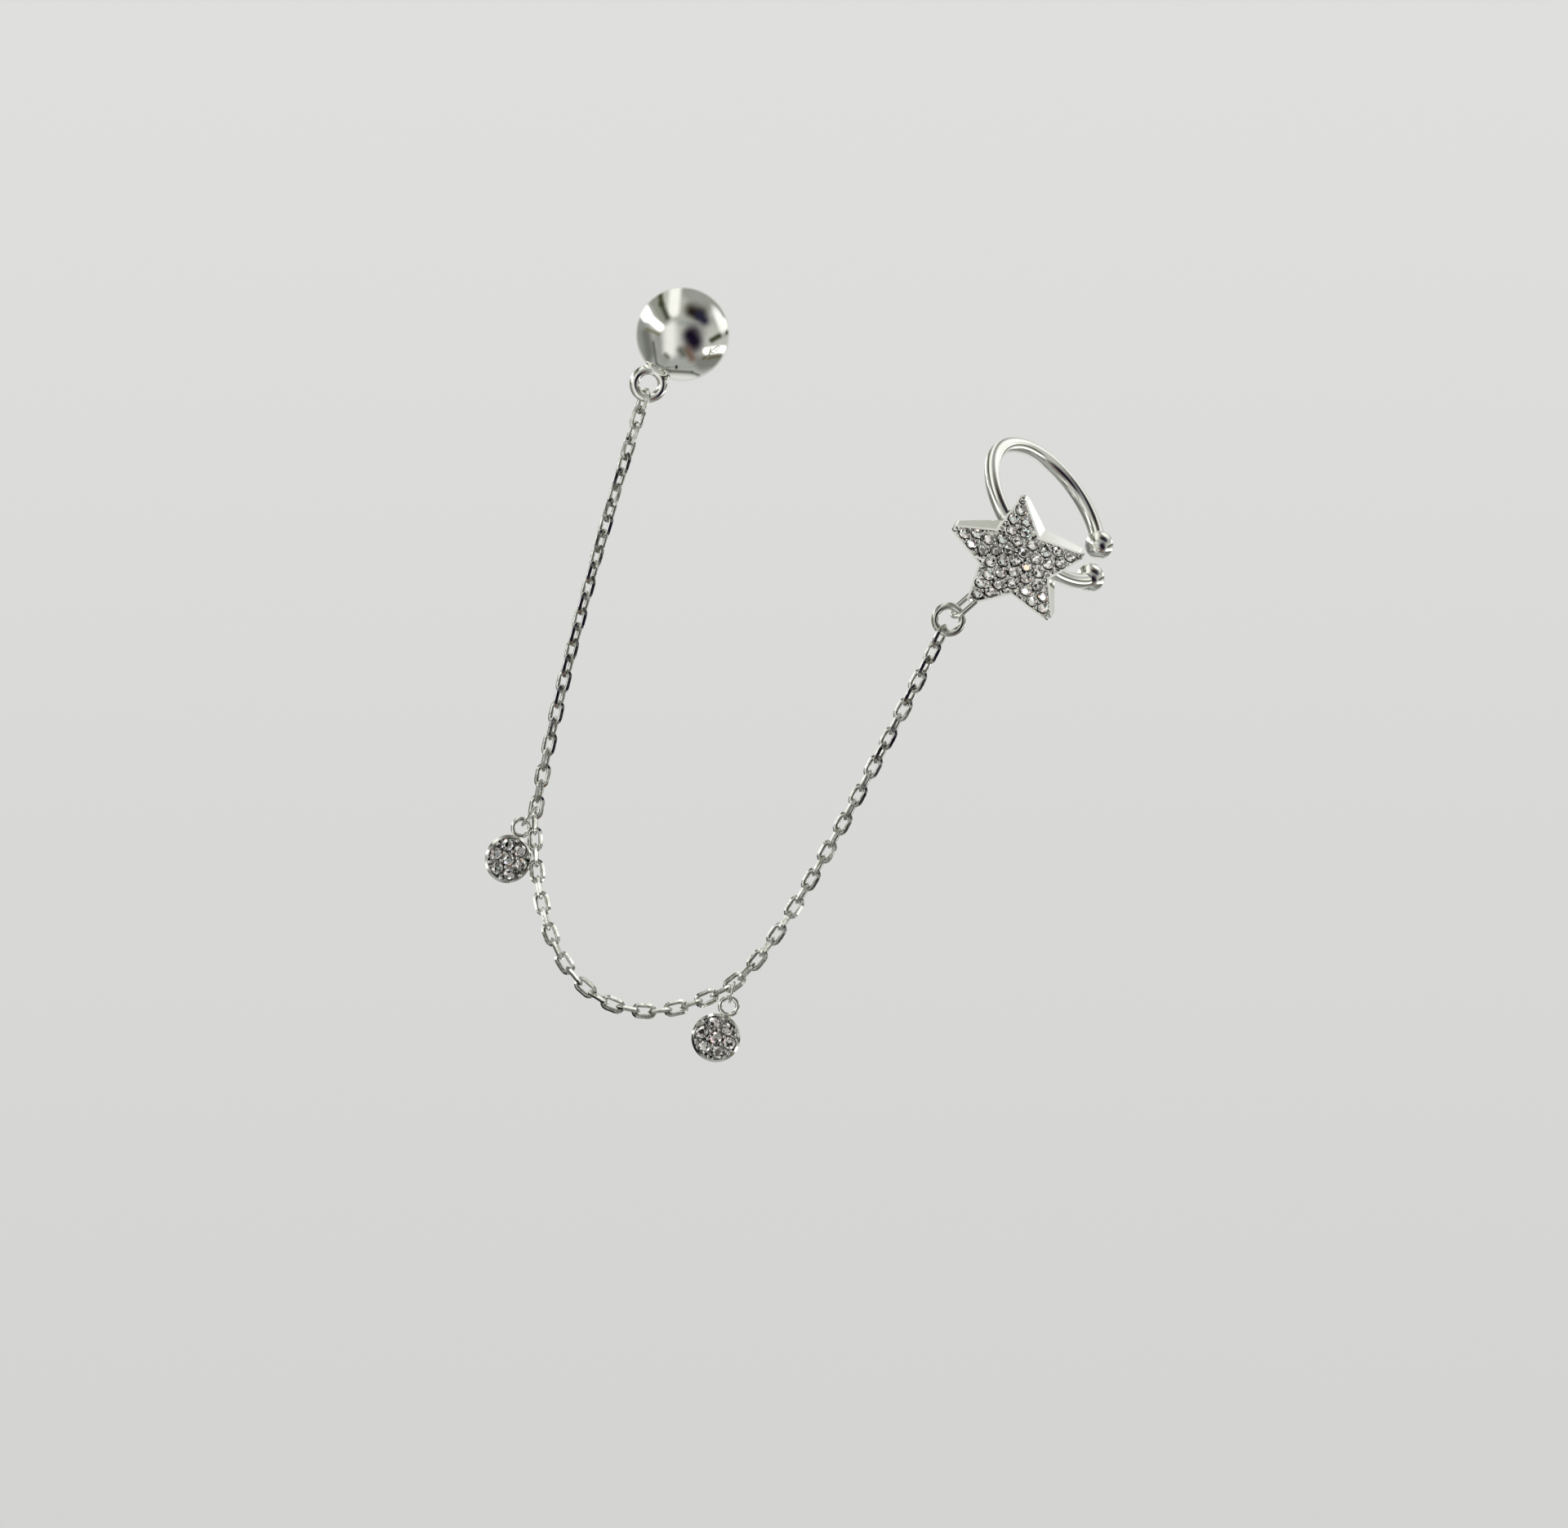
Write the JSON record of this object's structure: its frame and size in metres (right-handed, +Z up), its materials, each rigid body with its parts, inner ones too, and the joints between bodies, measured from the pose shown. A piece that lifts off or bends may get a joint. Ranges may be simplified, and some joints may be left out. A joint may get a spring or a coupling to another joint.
{
  "type": "ear chain earring",
  "caption": "Ball stud and star ear cuff joined by a long hanging cable chain with two small paved disc charms.",
  "frame": {"origin": "the ear post's axis at the back of the ball, where it touches the front of the ear lobe", "axes": "+Z up along the hanging chain, +Y along the ear post towards the back of the lobe, +X from the ball stud towards the cuff"},
  "size_m": [0.0339, 0.018, 0.0444],
  "materials": {
    "polished_metal": "mirror-polished silver",
    "chain_metal": "silver links, faceted and bright",
    "ring_metal": "polished silver wire",
    "setting_metal": "polished silver setting with small beads",
    "stones": "clear cut stones with coloured fire"
  },
  "bodies": {
    "root": {"ball_stud": "polished_metal", "chain": "chain_metal", "charm_ring_1": "ring_metal", "charm_ring_2": "ring_metal", "disc_charm_1": "setting_metal", "disc_charm_2": "setting_metal", "disc_stones_1": "stones", "disc_stones_2": "stones", "jump_ring": "ring_metal", "star_cuff": "polished_metal", "star_stones": "stones"}
  },
  "joints": []
}
